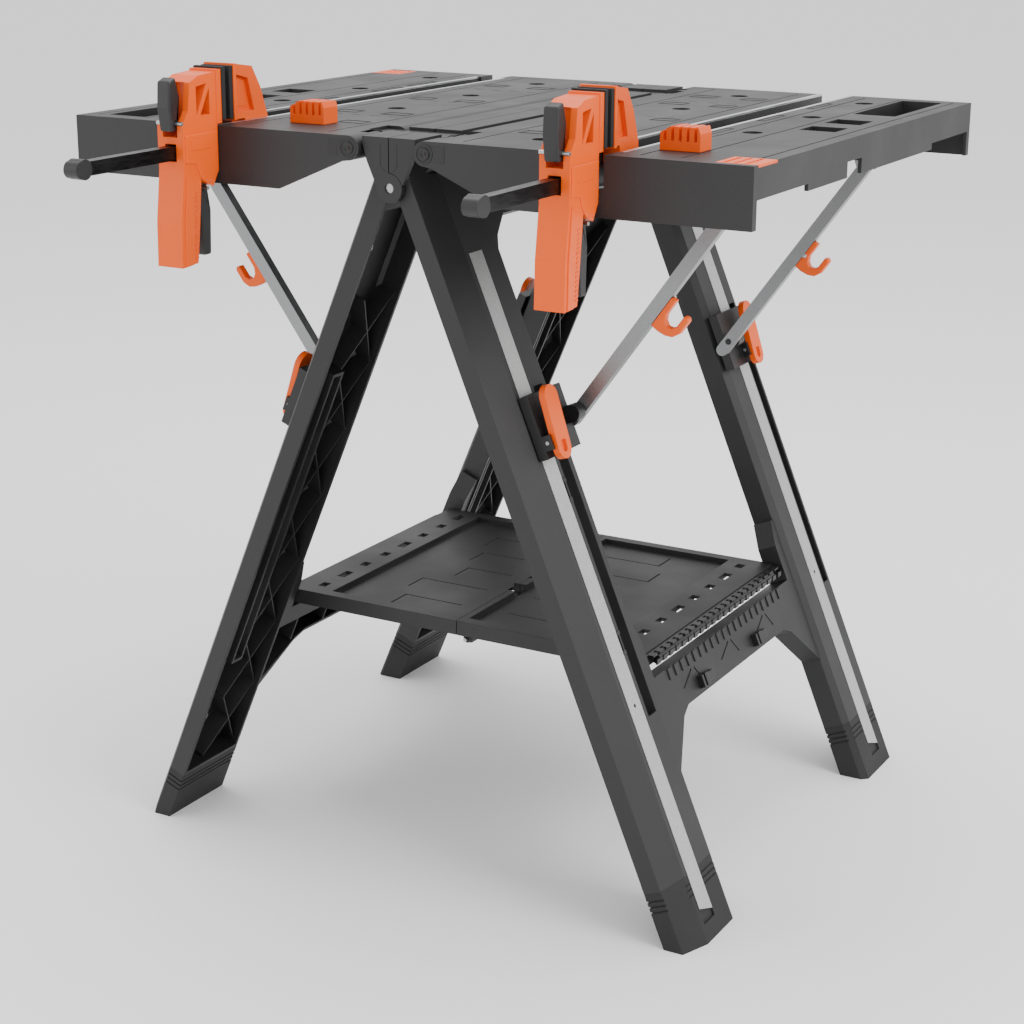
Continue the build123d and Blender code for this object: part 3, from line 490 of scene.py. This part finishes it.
# %% [markdown]
# ## Raised lines on the tops
# The tops have low raised outlines. Their real shapes are not known, so plain frames stand in
# for them, a few tenths of a millimetre high. Rays cast down at points along all four bars of a
# frame look for the CAD top, and a frame over a hole, a slot or a tray is left out.

# %% Raised outlines


def lies_flat(top, side, x0, x1, y0, y1, steps=8):
    """True if rays at points over a rectangle all meet the CAD top at the work surface."""
    for i in range(steps + 1):
        for j in (0, 0.5, 1):
            along_x = (x0 + (x1 - x0) * i / steps, y0 + (y1 - y0) * j)
            along_y = (x0 + (x1 - x0) * j, y0 + (y1 - y0) * i / steps)
            for x, y in (along_x, along_y):
                start = Vector((side * x * MM, side * y * MM, (SURFACE_Z + 20) * MM))
                hit, spot, _, _ = top.ray_cast(start, Vector((0, 0, -1)))
                if not hit or abs(spot.z - SURFACE_Z * MM) > 0.2 * MM:
                    return False
    return True


def outline_bars(top, side, x0, x1, y0, y1, wide=1.6, high=0.45):
    """Four butted bars round a rectangle, or none where the top isn't flat under one of them."""
    bars = [(x0, x1, y0, y0 + wide), (x0, x1, y1 - wide, y1),
            (x0, x0 + wide, y0 + wide, y1 - wide), (x1 - wide, x1, y0 + wide, y1 - wide)]
    if not all(lies_flat(top, side, *bar) for bar in bars):
        return []
    return [block(*bar, SURFACE_Z - 0.1, SURFACE_Z + high) for bar in bars]


for label, side in SIDES:
    top = nodes[label + "_top_panel"]
    bars = []
    for y in (-206, -34, 120, 206):
        bars += outline_bars(top, side, 88, 120, y, y + 20)
        bars += outline_bars(top, side, 152, 180, y, y + 20)
    for y in (-200, -120, 20, 160):
        bars += outline_bars(top, side, 253, 262, y, y + 60, 1.2)
    print(label, "raised bars:", len(bars))
    if bars:
        plates(label + "_top_raised_lines", bars, label + "_top", "top_plastic", 0.15, side)

# %% [markdown]
# ## Hinge links along the shelf
# The right end of the shelf closes in a chain of small links. Each link is a short block with
# a narrower neck, repeated along Y. The row of tabs below it belongs to the cross panel.

# %% Shelf links
LINK_PITCH = 16.0
links, tabs = [], []
for i in range(22):
    y = -172 + LINK_PITCH * i
    links.append(block(231.5, 238.5, y, y + 10, 262.4, 264.6))
    links.append(block(233.5, 236.5, y + 10, y + 16, 262.4, 263.8))
    links.append(block(239.6, 241.9, y + 3, y + 12, 254.0, 260.0))
plates("shelf_end_links", links, "shelf_right", "clip_plastic", 0.3)
corners = ((25.8, 243), (27.4, 243), (27.4, 255.4), (25.8, 255.4))
base = [leg_point(1, depth, 0, up) / MM for depth, up in corners]
for i in range(20):
    y = -156 + LINK_PITCH * i
    tabs.append(plate([(p[0], p[2]) for p in base], "y", y, y + 9))
plates("right_panel_tabs", tabs, "right_frame", "frame_plastic", 0.3)
print("shelf blocks:", len(links), "panel tabs:", len(tabs))

# %% [markdown]
# ## Floor and light
# A plain pale floor and a bright surround stand in for a studio's paper sweep. One large soft
# light on the right makes the end faces lighter than the front ones, and a weaker one on the
# left keeps the hollow legs readable.

# %% Stage


def plain(name, code, rough):
    """One even colour."""
    mat, _, shader, _ = blank(name)
    shader.inputs["Base Color"].default_value = linear(code)
    shader.inputs["Roughness"].default_value = rough
    return mat


floor_mesh = bpy.data.meshes.new("floor")
FAR = 30
floor_mesh.from_pydata([(-FAR, -FAR, 0), (FAR, -FAR, 0), (FAR, FAR, 0), (-FAR, FAR, 0)], [],
                       [(0, 1, 2, 3)])
floor = bpy.data.objects.new("floor", floor_mesh)
bpy.context.scene.collection.objects.link(floor)
floor_mesh.materials.append(plain("Studio_floor_paint", "#f4f4f4", 0.8))

world = bpy.data.worlds.new("studio")
bpy.context.scene.world = world
world.use_nodes = True
sky = world.node_tree
sky.nodes["Background"].inputs["Color"].default_value = (1, 1, 1, 1)
sky.nodes["Background"].inputs["Strength"].default_value = 1.35


def soft_light(name, place, target, size, power):
    """Square area light that faces a point."""
    data = bpy.data.lights.new(name, "AREA")
    data.size, data.energy = size, power
    lamp = bpy.data.objects.new(name, data)
    bpy.context.scene.collection.objects.link(lamp)
    lamp.location = place
    lamp.rotation_mode = "QUATERNION"
    lamp.rotation_quaternion = (Vector(target) - Vector(place)).to_track_quat("-Z", "Y")
    return lamp


soft_light("key_light", (3.2, -0.6, 2.6), (0, 0, 0.5), 2.0, 95)
soft_light("top_light", (-0.4, 0.6, 3.4), (0, 0, 0.6), 2.4, 60)
soft_light("fill_light", (-2.6, -2.4, 1.6), (0, 0, 0.4), 2.4, 22)

# %% [markdown]
# ## Camera
# The camera stands where the perspective of the table says: about 2.4 m away, a little above
# the top and to the right, with a 74 mm lens.

# %% Camera
YAW, PITCH, ROLL = -0.5103, -0.2969, 0.0053
EYE = (1.132898, -2.081248, 1.068203)
ahead = Vector((math.sin(YAW) * math.cos(PITCH), math.cos(YAW) * math.cos(PITCH),
                math.sin(PITCH)))
right = Vector((math.cos(YAW), -math.sin(YAW), 0))
above = right.cross(ahead)
across = right * math.cos(ROLL) + above * math.sin(ROLL)
upward = above * math.cos(ROLL) - right * math.sin(ROLL)
camera_data = bpy.data.cameras.new("camera")
camera_data.lens, camera_data.sensor_width = 73.94, 36.0
camera = bpy.data.objects.new("camera", camera_data)
bpy.context.scene.collection.objects.link(camera)
spin = Matrix((across, upward, -ahead)).transposed()
camera.matrix_world = Matrix.Translation(EYE) @ spin.to_4x4()
bpy.context.scene.camera = camera
